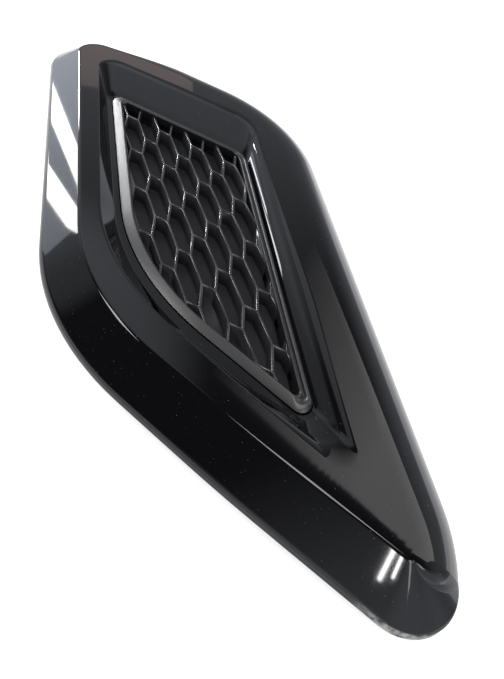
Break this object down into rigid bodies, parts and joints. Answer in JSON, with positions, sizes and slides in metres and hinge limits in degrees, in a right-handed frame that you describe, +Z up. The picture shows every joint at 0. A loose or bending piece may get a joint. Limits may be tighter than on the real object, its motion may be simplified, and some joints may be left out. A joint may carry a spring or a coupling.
{
  "type": "hood vent",
  "caption": "Long leaf-shaped hood vent: gloss black bevelled surround with a dished pocket that holds a satin black honeycomb insert, clipped to a bonnet from behind.",
  "frame": {"origin": "bottom centre of the bounding box: below the middle of the rim, in the plane of the clip noses", "axes": "+Y along the length to the wide far end, tail at -Y; +X to the straight edge beside the bare band; +Z up, out of the bonnet"},
  "size_m": [0.1622, 0.392, 0.027],
  "materials": {
    "gloss_black_abs": "high gloss black, lightly dusty, edge wear at the tail rim",
    "satin_black_polypropylene": "satin black with fine moulded grain",
    "foam_rubber": "matt closed-cell foam",
    "black_zinc_steel": "black zinc, satin",
    "spring_steel": "zinc-flake grey"
  },
  "bodies": {
    "root": {"surround": "gloss_black_abs", "honeycomb_insert": "satin_black_polypropylene", "rim_seal": "foam_rubber", "insert_screws": "black_zinc_steel", "spring_clip_1": "spring_steel", "spring_clip_2": "spring_steel", "spring_clip_3": "spring_steel", "spring_clip_4": "spring_steel", "spring_clip_5": "spring_steel", "spring_clip_6": "spring_steel", "spring_clip_7": "spring_steel"}
  },
  "joints": []
}
